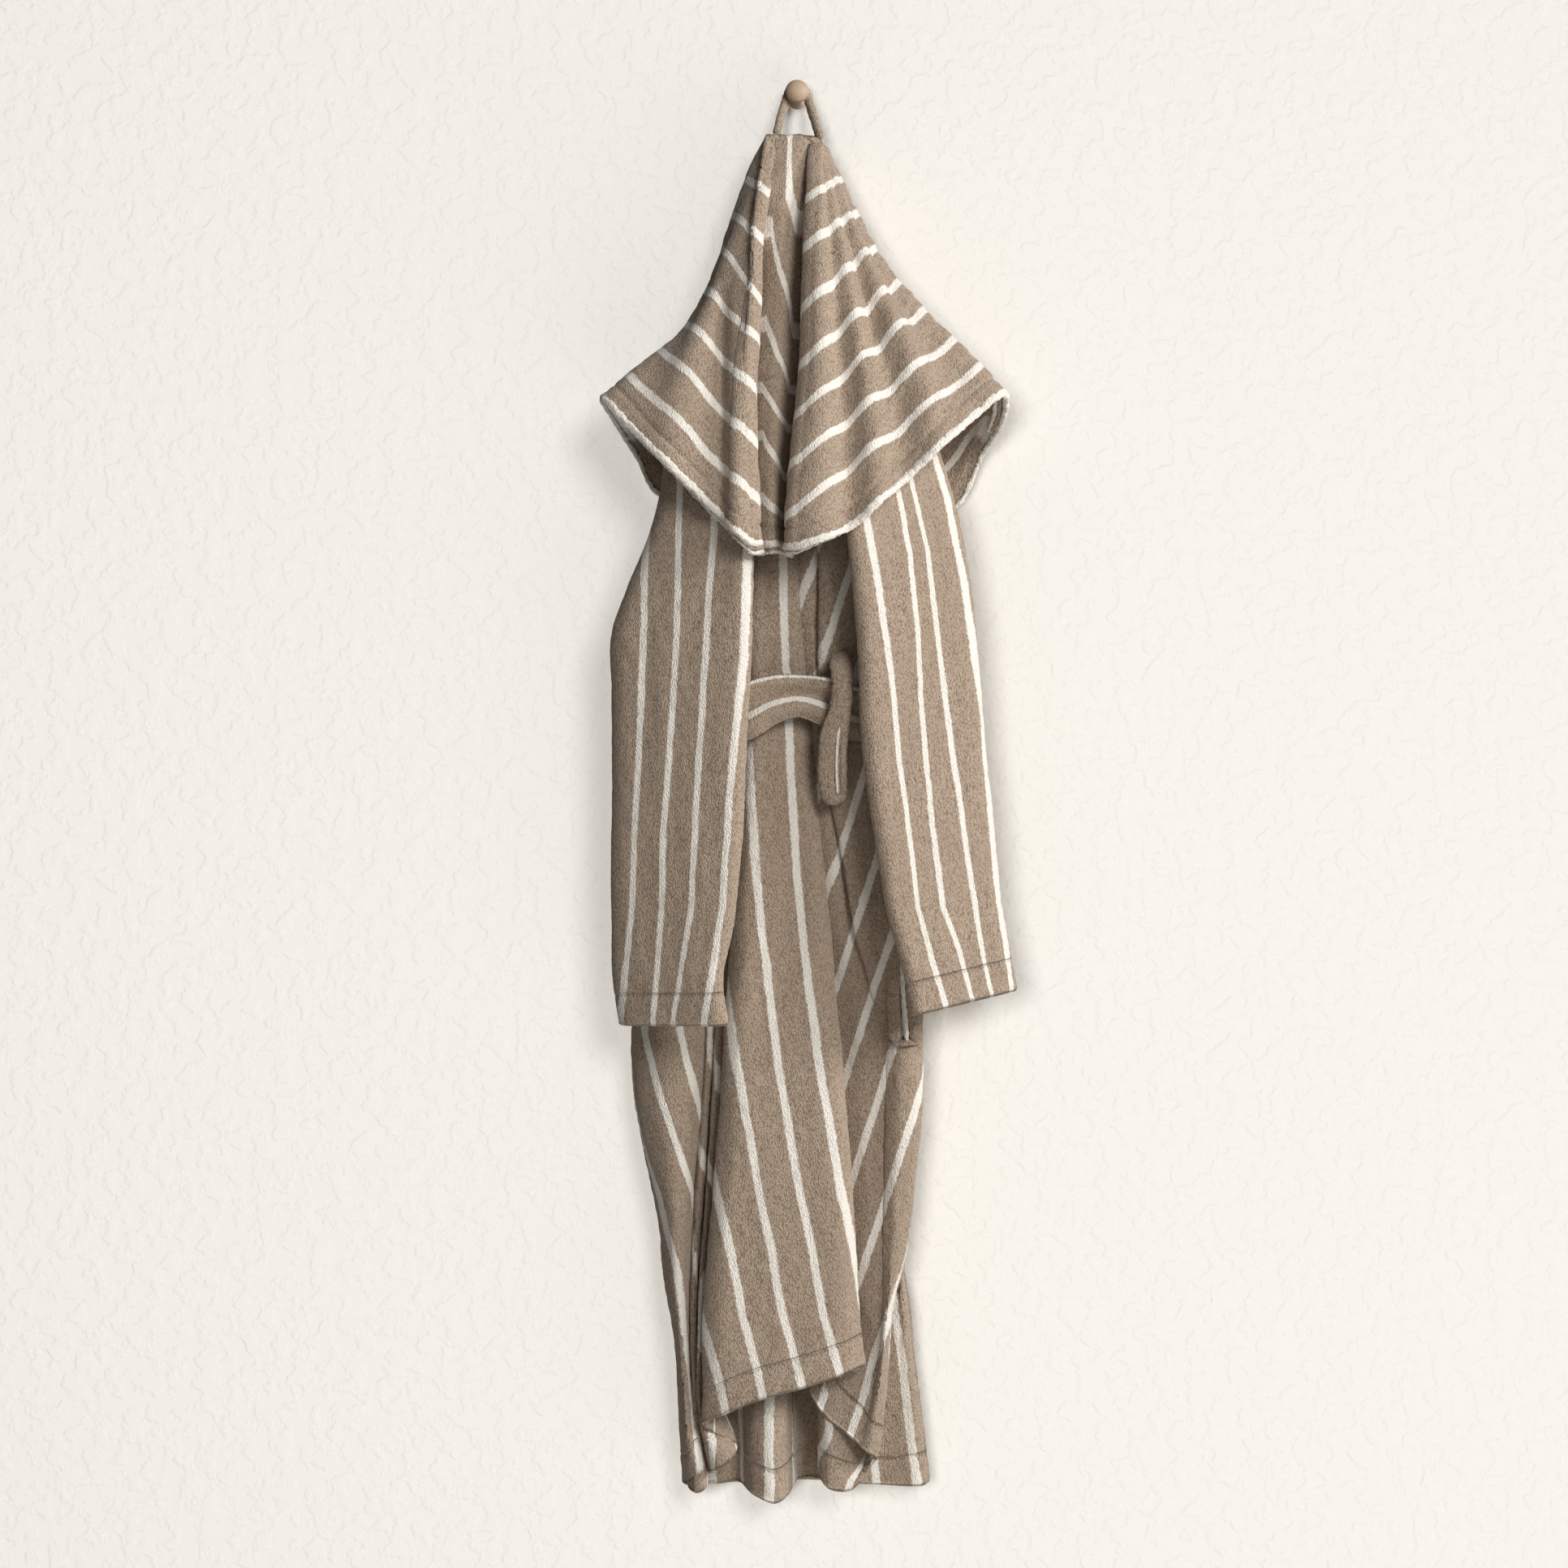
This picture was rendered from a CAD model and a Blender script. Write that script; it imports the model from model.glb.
import math
import bmesh
import bpy
import numpy as np
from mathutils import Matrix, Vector


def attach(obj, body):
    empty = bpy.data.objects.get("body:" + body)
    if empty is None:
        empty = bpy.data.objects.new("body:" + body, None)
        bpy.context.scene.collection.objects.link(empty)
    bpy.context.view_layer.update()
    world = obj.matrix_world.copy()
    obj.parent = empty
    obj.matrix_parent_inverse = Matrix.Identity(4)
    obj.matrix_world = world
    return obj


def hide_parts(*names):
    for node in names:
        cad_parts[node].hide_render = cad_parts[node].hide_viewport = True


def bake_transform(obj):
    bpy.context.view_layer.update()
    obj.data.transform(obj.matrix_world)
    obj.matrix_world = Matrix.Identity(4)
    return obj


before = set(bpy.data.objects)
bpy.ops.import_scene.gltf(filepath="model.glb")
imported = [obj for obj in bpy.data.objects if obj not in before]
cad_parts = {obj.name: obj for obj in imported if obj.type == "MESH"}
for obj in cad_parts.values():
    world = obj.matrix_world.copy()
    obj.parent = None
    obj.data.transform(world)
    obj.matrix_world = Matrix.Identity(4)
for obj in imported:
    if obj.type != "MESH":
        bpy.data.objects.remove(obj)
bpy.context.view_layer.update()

# A hooded terry bathrobe on a wooden wall peg, hung by its neck loop with its back to the viewer.
# Lengths in this file are millimetres, in the frame's own axes, and become metres in make_piece(). The
# stage, lights, camera, blends and flat sizes are in metres.
MM = 0.001

PITCH = 36.0                 # from one woven stripe to the next
STRIPE = 7.2                 # width of a stripe
PILE = 3.6                   # one layer of terry
HEM = 4.0                    # a turned and sewn hem
HEM_DEPTH = 24.0
STITCH = 0.0036              # metres from one stitch to the next
TUFT = 3.4                   # size of a clump of loops
ACROSS = 2.2                 # spacing of mesh points across a sheet and along it
DOWN = 3.0
SEAM_WIDTH = 2.0             # of the groove that a sewn line makes
HEM_STEP = 3.0               # spacing of mesh rows in a hem
TINY = 1e-9                  # keeps a division from meeting 0
ROUNDNESS = 0.9              # how far a sheet's rim bulges out, against half its thickness

SEAM_Y = -35.0
SLEEVE_Y = -112.0
SLEEVE_LEAN = 18.0           # a sleeve's outer edge lies this much nearer the wall than its middle
BELT_Z = -518.0
BELT_WIDTH = 44.0


# ---- curves and surfaces ----
def catmull(points, steps, closed=False):
    """Smooth points through points[k], steps[k] of them up to the next. xyz lead the last axis."""
    points = np.asarray(points, float)
    count = len(points)

    def at(k):
        if 0 <= k < count:
            return points[k]
        inside, beyond = (points[0], points[1]) if k < 0 else (points[-1], points[-2])
        outer = 2 * inside - beyond
        if closed:
            outer[..., :3] = points[-2 if k < 0 else 1][..., :3]
        return outer

    out = []
    for k in range(count - 1):
        p = [at(k - 1), at(k), at(k + 1), at(k + 2)]
        gaps = [np.sqrt(np.linalg.norm(p[i + 1][..., :3] - p[i][..., :3],
                                       axis=-1)) + 1e-6 for i in range(3)]
        t0 = np.zeros_like(gaps[0])
        t1 = t0 + gaps[0]
        t2 = t1 + gaps[1]
        t3 = t2 + gaps[2]
        t0, t1, t2, t3 = (t[..., None] for t in (t0, t1, t2, t3))
        for f in np.arange(steps[k]) / steps[k]:
            t = t1 + f * (t2 - t1)
            a1 = (t1 - t) / (t1 - t0) * p[0] + (t - t0) / (t1 - t0) * p[1]
            a2 = (t2 - t) / (t2 - t1) * p[1] + (t - t1) / (t2 - t1) * p[2]
            a3 = (t3 - t) / (t3 - t2) * p[2] + (t - t2) / (t3 - t2) * p[3]
            b1 = (t2 - t) / (t2 - t0) * a1 + (t - t0) / (t2 - t0) * a2
            b2 = (t3 - t) / (t3 - t1) * a2 + (t - t1) / (t3 - t1) * a3
            out.append((t2 - t) / (t2 - t1) * b1 + (t - t1) / (t2 - t1) * b2)
    out.append(points[-1])
    return np.array(out)


def unit(vectors, tiny=0.0):
    """Vectors of length 1 in the last axis; tiny keeps a zero vector from dividing by 0."""
    return vectors / (np.linalg.norm(vectors, axis=-1, keepdims=True) + tiny)


def run_along(path):
    """The distance along a path at each of its points."""
    return np.concatenate([[0], np.cumsum(np.linalg.norm(np.diff(path, axis=0), axis=1))])


def fade(value, start, width):
    """0 below start, 1 past start + width."""
    return np.clip((value - start) / width, 0, 1)


def shares(count):
    return np.linspace(0, 1, count)


def x_on(line, z):
    """Where a line of (x, z) pairs, listed from the top down, is at height z."""
    return np.interp(-np.asarray(z), [-p[1] for p in line], [p[0] for p in line])


def run_of(points, rows):
    """Points of a smooth line at the given shares of its length."""
    points = np.asarray(points, float)
    fine = catmull(points, [16] * (len(points) - 1))
    run = run_along(fine[:, :3])
    return np.stack([np.interp(rows * run[-1], run, fine[:, i]) for i in range(fine.shape[1])], axis=1)


def between(a, b, share, shift=0.0):
    """Pairs part of the way from one outline to another."""
    other = x_on(b, [z for _, z in a])
    return [(x + (o - x) * share + shift, z) for (x, z), o in zip(a, other)]


def noise(u, v, seed):
    """Smooth random relief between -1 and 1 with about one bump per unit."""
    lattice = np.random.default_rng(seed).uniform(-1, 1, (128, 128))
    u0, v0 = np.floor(u).astype(int), np.floor(v).astype(int)
    fu, fv = u - u0, v - v0
    fu, fv = fu * fu * (3 - 2 * fu), fv * fv * (3 - 2 * fv)
    corner = [[lattice[(u0 + i) % 128, (v0 + j) % 128] for j in (0, 1)] for i in (0, 1)]
    top = corner[0][0] * (1 - fv) + corner[0][1] * fv
    foot = corner[1][0] * (1 - fv) + corner[1][1] * fv
    return top * (1 - fu) + foot * fu


class Guide:
    """A line of the cloth from its top to its edge, and the stripe number along it if it is known."""

    def __init__(self, line, stripe=None):
        self.line = line
        self.stripe = stripe


class Drape:
    """A surface through guide lines: its points, its cloth coordinates, and where each guide lies in it."""

    def __init__(self, guides, hem=0.0, closed=False, lean=1.0, across=ACROSS, down=DOWN):
        lengths = []
        for guide in guides:
            fine = catmull(guide.line, [8] * (len(guide.line) - 1))
            lengths.append(np.linalg.norm(np.diff(fine, axis=0), axis=1).sum())
        longest = max(lengths)
        body_rows = max(3, int(longest / down))
        hem_rows = int(np.ceil(hem / HEM_STEP)) if hem else 0
        lines = []
        for guide, length in zip(guides, lengths):
            share = 1 - hem / length
            rows = np.linspace(0, share, body_rows + 1)
            if hem:
                rows = np.concatenate([rows, np.linspace(share, 1, hem_rows + 1)[1:]])
            lines.append(run_of(guide.line, rows))
        lines = np.array(lines)
        stripe = [None if g.stripe is None else g.stripe(lines[k][:, 0], lines[k][:, 2]) for k,
                  g in enumerate(guides)]
        known = [k for k, s in enumerate(stripe) if s is not None] or [0]
        if stripe[known[0]] is None:
            stripe[0] = np.zeros(lines.shape[1])
        for k in range(known[0] - 1, -1, -1):
            stripe[k] = stripe[k + 1] - lean * np.linalg.norm(lines[k] - lines[k + 1], axis=1) / PITCH
        for k in range(known[0] + 1, len(guides)):
            if stripe[k] is None:
                stripe[k] = stripe[k - 1] + lean * np.linalg.norm(lines[k] - lines[k - 1], axis=1) / PITCH
        chord = np.linalg.norm(np.diff(lines, axis=0), axis=2).max(axis=1)
        steps = [max(2, int(np.ceil(c / across))) for c in chord]
        surface = catmull(lines, steps, closed).transpose(1, 0, 2)
        self.grid = surface[..., :3]
        self.split = body_rows
        self.at_guide = np.concatenate([[0], np.cumsum(steps)])
        self.guide = np.interp(np.arange(surface.shape[1]), self.at_guide, np.arange(len(guides)))
        number = np.zeros(surface.shape[:2])
        for k in range(len(guides) - 1):
            columns = slice(self.at_guide[k], self.at_guide[k + 1] + 1)
            part = surface[:, columns]
            if guides[k].stripe is not None and guides[k].stripe is guides[k + 1].stripe:
                number[:, columns] = guides[k].stripe(part[..., 0].ravel(),
                                                      part[..., 2].ravel()).reshape(part.shape[:2])
            else:
                share = (self.guide[columns] - k)[None]
                number[:, columns] = stripe[k][:, None] * (1 - share) + stripe[k + 1][:, None] * share
        self.closed = closed
        down_run = np.zeros(surface.shape[:2])
        down_run[1:] = np.cumsum(np.linalg.norm(np.diff(self.grid, axis=0), axis=2), axis=0)
        across_run = np.zeros(surface.shape[:2])
        across_run[:, 1:] = np.cumsum(np.linalg.norm(np.diff(self.grid, axis=1), axis=2), axis=1)
        self.down_run = down_run
        self.across_run = across_run
        self.cloth = np.stack([number, across_run * MM, down_run * MM], axis=2)
        self.share = down_run / down_run[-1]
        self.trim = np.zeros(surface.shape[:2])

    def push(self, amount):
        """Moves every point out of the surface by amount."""
        self.grid = self.grid + grid_normals(self.grid, self.closed) * amount[..., None]

    def crumple(self, seed, folds=1.2, wide=26.0, long=170.0, small=0.35):
        """Soft hanging folds and the uneven surface of the pile."""
        across, down = self.across_run, self.down_run
        amount = folds * noise(across / wide + 20, down / long, seed)
        amount += 0.45 * folds * noise(across / (0.4 * wide), down / (0.35 * long) + 9, seed + 1)
        amount += small * noise(across / 6.5, down / 9.0, seed + 2)
        amount += 0.3 * noise(across / TUFT, down / TUFT, seed + 3)
        if self.closed:
            near_seam = np.clip(np.minimum(across, across[:, -1:] - across) / 20, 0, 1)
            amount = amount * near_seam
        self.push(amount)

    def sew(self, distance, reach=3.0, depth=0.6):
        """A sewn line that follows the edge at this distance: a shallow groove, and trim near 1 along it."""
        from_edge = self.down_run[-1] - self.down_run
        self.trim = np.maximum(self.trim, np.clip(1 - np.abs(from_edge - distance) / reach, 0, 1))
        self.push(-depth * np.exp(-((from_edge - distance) / SEAM_WIDTH) ** 2))

    def piece(self, name, body, nodes, rows=slice(None), columns=slice(None), thick=PILE, material=None,
              trim=True):
        """A part of the surface as a piece that stands for these CAD nodes."""
        made = build(name, body, self.grid[rows, columns], self.cloth[rows, columns], thick,
                     material or TERRY,
                     self.closed, self.trim[rows, columns] if trim else None)
        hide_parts(*nodes)
        return made


def grid_normals(grid, closed=False):
    if closed:
        ring = grid[:, :-1]
        across = np.roll(ring, -1, axis=1) - np.roll(ring, 1, axis=1)
        across = np.concatenate([across, across[:, :1]], axis=1)
    else:
        across = np.gradient(grid, axis=1)
    down = np.gradient(grid, axis=0)
    return unit(np.cross(down, across), TINY)


def build(name, body, grid, cloth, thickness, material, closed=False, trim=None):
    """A closed sheet of cloth with round edges on a grid of middle points, as a mesh object in metres."""
    rows, columns = grid.shape[:2]
    normal = grid_normals(grid, closed)
    half = thickness / 2
    front = grid + normal * half
    back = grid - normal * half
    index = np.arange(rows * columns).reshape(rows, columns)
    if closed:
        index[:, -1] = index[:, 0]
    size = rows * columns
    flat = np.arange(rows * columns).reshape(rows, columns)

    def quads(table):
        return np.stack([table[:-1, :-1], table[1:, :-1], table[1:, 1:], table[:-1, 1:]],
                        axis=-1).reshape(-1, 4)

    faces = [quads(index), quads(index + size)[:, ::-1]]
    source = [quads(flat), quads(flat)[:, ::-1]]
    points = [front.reshape(-1, 3), back.reshape(-1, 3)]

    def rim(line, neighbour, start):
        """The round edge along one side: line and neighbour are grid positions (row, column) arrays."""
        r, c = line
        out = unit(grid[r, c] - grid[neighbour[0], neighbour[1]], TINY)
        points.append(grid[r, c] + out * half * ROUNDNESS)
        ring = np.arange(len(r)) + start
        if closed:
            ring[-1] = ring[0]
        return ring

    top = (np.zeros(columns, int), np.arange(columns))
    foot = (np.full(columns, rows - 1), np.arange(columns))
    start = 2 * size

    def band(a, ring, b, where):
        faces.append(np.stack([a[:-1], a[1:], ring[1:], ring[:-1]], axis=-1))
        faces.append(np.stack([ring[:-1], ring[1:], b[1:], b[:-1]], axis=-1))
        src = flat[where[0], where[1]]
        for _ in range(2):
            source.append(np.stack([src[:-1], src[1:], src[1:], src[:-1]], axis=-1))

    if closed:
        ring = rim(foot, (foot[0] - 1, foot[1]), start)
        band(index[-1], ring, index[-1] + size, foot)
        start += columns
        ring = rim(top, (top[0] + 1, top[1]), start)
        band(index[0][::-1], ring[::-1], index[0][::-1] + size, (top[0][::-1], top[1][::-1]))
    else:
        r = np.concatenate([np.zeros(columns - 1, int), np.arange(rows - 1), np.full(columns - 1, rows - 1),
                            np.arange(rows - 1, 0, -1)])
        c = np.concatenate([np.arange(columns - 1), np.full(rows - 1, columns - 1),
                            np.arange(columns - 1, 0, -1),
                            np.zeros(rows - 1, int)])
        inside = (np.clip(r, 1, rows - 2), np.clip(c, 1, columns - 2))
        rim((r, c), inside, start)
        ring = np.arange(len(r)) + start
        loop = np.concatenate([np.arange(len(r)), [0]])
        a = index[r, c][loop][::-1]
        band(a, ring[loop][::-1], a + size, (r[loop][::-1], c[loop][::-1]))
    source = np.concatenate(source).reshape(-1)
    return make_piece(name, np.concatenate(points), np.concatenate(faces).tolist(), material, body,
                      cloth.reshape(-1, 3)[source], None if trim is None else trim.reshape(-1)[source])


def lay_cloth(mesh, points, corners):
    """The rest place of each point, and each face corner's metres across and down and stripe number."""
    place = mesh.attributes.new("place", "FLOAT_VECTOR", "POINT")
    place.data.foreach_set("vector", np.asarray(points, np.float32).ravel())
    cloth = mesh.uv_layers.new(name="cloth")
    cloth.data.foreach_set("uv", corners[:, 1:].astype(np.float32).ravel())
    stripes = mesh.uv_layers.new(name="stripes")
    stripes.data.foreach_set("uv", np.stack([corners[:, 0], corners[:, 2]],
                                            axis=1).astype(np.float32).ravel())


def drop_loose(piece):
    """Removes the points that no face uses, such as the doubled last column of a closed sheet."""
    work = bmesh.new()
    work.from_mesh(piece.data)
    loose = [v for v in work.verts if not v.link_faces]
    if loose:
        bmesh.ops.delete(work, geom=loose, context="VERTS")
        work.to_mesh(piece.data)
    work.free()


def make_piece(name, points, faces, material, body, corners=None, trim=None):
    """A mesh object in metres from points in millimetres, with cloth coordinates and trim at face corners."""
    points = points * MM
    mesh = bpy.data.meshes.new(name)
    mesh.from_pydata(points.tolist(), [], faces)
    if corners is not None:
        lay_cloth(mesh, points, corners)
    if trim is not None:
        tone = mesh.attributes.new("trim", "FLOAT", "CORNER")
        tone.data.foreach_set("value", trim.astype(np.float32))
    mesh.shade_smooth()
    mesh.materials.append(material)
    piece = bpy.data.objects.new(name, mesh)
    bpy.context.scene.collection.objects.link(piece)
    drop_loose(piece)
    if body:
        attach(piece, body)
    return piece


def around(index):
    """The quads of a tube between neighbouring rings, from a table of (ring, corner) numbers."""
    return np.stack([index[:-1, :-1], index[:-1, 1:], index[1:, 1:], index[1:, :-1]], axis=-1).reshape(-1,
                                                                                                       4)


def tube_faces(rings, corners):
    """The quads of a tube and the two faces that close its ends."""
    index = np.arange(rings * corners).reshape(rings, corners)
    quads = around(np.concatenate([index, index[:, :1]], axis=1)).tolist()
    return quads + [index[0][::-1].tolist(), index[-1].tolist()]


# ---- stripe families: the stripe number at a place, from the woven lines ----
def number_among(places, value, passed):
    """The line before each value plus its share of the way to the next; passed marks the lines before it."""
    slot = np.clip(passed.sum(axis=0) - 1, 0, len(places) - 2)
    row = np.arange(len(value))
    low, high = places[slot, row], places[slot + 1, row]
    return slot + (value - low) / (high - low)


def upright(lines, first=0):
    """Stripes that run down the cloth: each line is a list of (x, z)."""
    def number(x, z):
        places = np.array([x_on(line, z) for line in lines])
        return first + number_among(places, x, x[None] > places)
    return number


def slanting(lines, first=1):
    """Stripes that run across the cloth: each line is (x, z) at one end and (x, z) at the other."""
    def number(x, z):
        places = np.array([a[1] + (x - a[0]) * (b[1] - a[1]) / (b[0] - a[0]) for a, b in lines])
        return first + number_among(places, z, z[None] < places)
    return number


def levels(table):
    """Stripe numbers from a table of (z, number) rows, going on at the ends."""
    zs = np.array([row[0] for row in table], float)
    ns = np.array([row[1] for row in table], float)

    def number(x, z):
        k = np.clip((z[:, None] < zs[None]).sum(axis=1) - 1, 0, len(zs) - 2)
        return ns[k] + (z - zs[k]) * (ns[k + 1] - ns[k]) / (zs[k + 1] - zs[k])
    return number


# ---- materials ----
class Nodes:
    """A short way to write a node tree."""

    def __init__(self, name):
        self.material = bpy.data.materials.new(name)
        self.material.use_nodes = True
        self.tree = self.material.node_tree
        self.shader = self.tree.nodes["Principled BSDF"]

    def add(self, kind, inputs=None, **settings):
        node = self.tree.nodes.new("ShaderNode" + kind)
        for key, value in settings.items():
            setattr(node, key, value)
        for key, value in (inputs or {}).items():
            self.put(node.inputs[key], value)
        return node

    def put(self, socket, value):
        if isinstance(value, bpy.types.NodeSocket):
            self.tree.links.new(value, socket)
        else:
            socket.default_value = value

    def math(self, operation, a, b=0.0, c=0.0, clamp=False):
        node = self.add("Math", {0: a, 1: b, 2: c}, operation=operation, use_clamp=clamp)
        return node.outputs[0]

    def mix(self, share, a, b, mode="MIX"):
        node = self.add("Mix", {0: share, 6: a, 7: b}, data_type="RGBA", blend_type=mode)
        return node.outputs[2]

    def noise(self, vector, scale, detail=2.0, rough=0.5):
        node = self.add("TexNoise", {"Vector": vector, "Scale": scale, "Detail": detail,
                                     "Roughness": rough})
        return node.outputs["Fac"]

    def ramp(self, value, low, high, to_low=0.0, to_high=1.0):
        node = self.add("MapRange", {0: value, 1: low, 2: high, 3: to_low, 4: to_high},
                        interpolation_type="SMOOTHSTEP")
        return node.outputs[0]


def linear(red, green, blue):
    """A colour given as seen on a screen, 0 to 255."""
    def one(value):
        value /= 255
        return value / 12.92 if value <= 0.04045 else ((value + 0.055) / 1.055) ** 2.4
    return (one(red), one(green), one(blue), 1.0)


BROWN_DARK = linear(120, 102, 84)
BROWN = linear(160, 141, 123)
BROWN_LIGHT = linear(190, 171, 152)
BROWN_SEAM = linear(92, 76, 60)
CREAM = linear(244, 239, 231)
CREAM_SHADE = linear(220, 212, 201)


def terry(name, striped=True, edge=False):
    """Looped pile: woven stripes with ragged edges, rows of loops, and a soft sheen."""
    n = Nodes(name)
    across = n.add("SeparateXYZ", {0: n.add("UVMap", uv_map="cloth").outputs[0]}).outputs[0]
    place = n.add("Attribute", attribute_name="place").outputs["Vector"]
    rows = n.add("Mapping", {"Vector": place, "Rotation": (0, math.radians(30), 0),
                             "Scale": (1.0, 0.8, 0.6)}).outputs[0]
    gap = n.add("TexVoronoi", {"Vector": rows, "Scale": 760.0, "Randomness": 0.85},
                feature="F1").outputs["Distance"]
    loops = n.math("SUBTRACT", 1.0, gap)
    clumps = n.noise(place, 170.0, 3.0, 0.65)
    wear = n.noise(place, 16.0, 2.0, 0.5)
    grain = n.math("ADD", n.math("MULTIPLY", loops, 0.62), n.math("MULTIPLY", clumps, 0.38))
    shade = n.ramp(grain, 0.12, 0.88)
    brown = n.mix(shade, BROWN_DARK, BROWN_LIGHT)
    brown = n.mix(n.ramp(wear, 0.3, 0.7, 0.0, 0.3), brown, BROWN)
    cream = n.mix(shade, CREAM_SHADE, CREAM)
    if edge:
        colour = cream
    elif striped:
        ragged = n.math("MULTIPLY", n.math("SUBTRACT", n.noise(place, 420.0, 2.0, 0.7), 0.5), 0.085)
        wander = n.math("MULTIPLY", n.math("SUBTRACT", n.noise(place, 36.0, 2.0, 0.5), 0.5), 0.075)
        woven = n.add("SeparateXYZ", {0: n.add("UVMap", uv_map="stripes").outputs[0]}).outputs[0]
        number = n.math("ADD", woven, n.math("ADD", ragged, wander))
        off = n.math("ABSOLUTE", n.math("SUBTRACT", number, n.math("ROUND", number)))
        half = STRIPE / PITCH / 2
        mask = n.ramp(off, half - 0.022, half + 0.022, 1.0, 0.0)
        colour = n.mix(mask, brown, cream)
    else:
        colour = brown
    height = n.math("ADD", loops, n.math("MULTIPLY", clumps, 0.6))
    # A sewn line lies where trim is near 1: short stitches that sink into the pile.
    seam = n.add("Attribute", attribute_name="trim").outputs["Fac"]
    dash = n.ramp(n.math("SINE", n.math("MULTIPLY", across, 2 * math.pi / STITCH)), -0.5, 0.3)
    stitch = n.math("MULTIPLY", n.ramp(seam, 0.62, 0.9), dash)
    colour = n.mix(n.math("MULTIPLY", stitch, 0.22), colour, BROWN_SEAM)
    height = n.math("SUBTRACT", height, n.math("MULTIPLY", stitch, 0.7))
    bump = n.add("Bump", {"Height": height, "Strength": 0.72, "Distance": 0.0011})
    n.put(n.shader.inputs["Base Color"], colour)
    n.put(n.shader.inputs["Normal"], bump.outputs[0])
    n.shader.inputs["Roughness"].default_value = 0.95
    n.shader.inputs["Specular IOR Level"].default_value = 0.15
    n.shader.inputs["Sheen Weight"].default_value = 0.25
    n.shader.inputs["Sheen Roughness"].default_value = 0.6
    n.shader.inputs["Sheen Tint"].default_value = (1.0, 0.96, 0.9, 1.0)
    return n.material


def wood_material():
    n = Nodes("turned_beech")
    place = n.add("TexCoord").outputs["Object"]
    grain = n.add("Mapping", {"Vector": place, "Scale": (1.0, 0.09, 1.0)}).outputs[0]
    fibre = n.noise(grain, 900.0, 4.0, 0.65)
    rings = n.add("TexWave", {"Vector": grain, "Scale": 160.0, "Distortion": 6.0, "Detail": 3.0},
                  wave_type="RINGS", rings_direction="Y").outputs["Fac"]
    flecks = n.add("Mapping", {"Vector": place, "Scale": (1.0, 0.22, 1.0)}).outputs[0]
    fleck = n.ramp(n.noise(flecks, 1500.0, 1.0), 0.62, 0.7)
    colour = n.mix(n.math("MULTIPLY", rings, 0.55), linear(196, 172, 148), linear(163, 134, 107))
    colour = n.mix(n.math("MULTIPLY", fibre, 0.35), colour, linear(146, 116, 90))
    colour = n.mix(n.math("MULTIPLY", fleck, 0.3), colour, linear(120, 92, 70))
    bump = n.add("Bump", {"Height": fibre, "Strength": 0.25, "Distance": 0.0003})
    n.put(n.shader.inputs["Base Color"], colour)
    n.put(n.shader.inputs["Normal"], bump.outputs[0])
    n.put(n.shader.inputs["Roughness"], n.ramp(fibre, 0.2, 0.8, 0.42, 0.6))
    return n.material


def steel_material():
    n = Nodes("zinc_steel")
    place = n.add("TexCoord").outputs["Object"]
    spots = n.noise(place, 700.0, 3.0, 0.6)
    scratch = n.noise(n.add("Mapping", {"Vector": place, "Scale": (1.0, 0.1, 1.0)}).outputs[0], 1800.0, 2.0)
    n.put(n.shader.inputs["Base Color"], n.mix(spots, linear(168, 170, 172), linear(205, 206, 205)))
    n.put(n.shader.inputs["Roughness"], n.ramp(spots, 0.3, 0.7, 0.28, 0.45))
    bump = n.add("Bump", {"Height": scratch, "Strength": 0.2, "Distance": 0.0001})
    n.put(n.shader.inputs["Normal"], bump.outputs[0])
    n.shader.inputs["Metallic"].default_value = 1.0
    return n.material


TERRY = terry("striped_terry")
PLAIN = terry("plain_terry", striped=False)
WHITE = terry("white_edge", edge=True)
WOOD = wood_material()
STEEL = steel_material()


# ---- the hood ----
RIGHT_STRIPES = [((10, -98), (33, -81)), ((6, -142), (45, -112)), ((6, -195), (62, -141)),
                 ((6, -240), (83, -170)),
                 ((0, -284), (103, -195)), ((-4, -325), (126, -222)), ((-7, -368), (148, -244))]
LEFT_STRIPES = [((-39, -81), (-25, -95)), ((-50, -113), (-29, -136)), ((-60, -142), (-31, -190)),
                ((-79, -172), (-33, -222)), ((-93, -203), (-35, -263)), ((-112, -228), (-35, -308)),
                ((-137, -251), (-33, -356))]
RIM_Y = [-60, -96, -118, -134, -146, -152]       # how far the hood's front stands out, from the neck down
RIM_Z = [-44, -100, -160, -225, -300, -388]


def hood_y(z, back=0.0):
    return float(np.interp(-z, [-v for v in RIM_Z], RIM_Y)) + back


def hood_line(pairs, back=0.0, shift=0.0):
    """A line over the hood. The fold between its halves is flush at the neck and deepens down to `back`."""
    return [(x + shift, hood_y(z, back * min(1.0, 0.04 + (-z - 44) / 150)), z) for x, z in pairs]


LEFT_FLAP = [(-17, -40), (-24, -90), (-29, -131), (-30, -175), (-33, -215), (-35, -263), (-33, -336),
             (-31, -388)]
RIGHT_FLAP = [(11, -48), (9, -88), (6, -143), (5, -215), (1, -263), (-5, -323), (-8, -359), (-8, -391)]
LEFT_RIM = [(-25, -52, -40), (-39, -60, -69), (-53, -66, -107), (-66, -75, -148), (-80, -84, -182),
            (-97, -92, -209), (-111, -98, -223), (-138, -108, -246), (-161, -112, -266)]
RIGHT_RIM = [(26, -52, -52), (36, -58, -76), (50, -66, -107), (70, -76, -148), (90, -85, -175),
             (114, -94, -202), (142, -104, -231), (170, -112, -262)]


def within(family, low, high):
    """The same family, with no stripe before number low or past number high."""
    return lambda x, z: np.clip(family(x, z), low, high)


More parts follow.
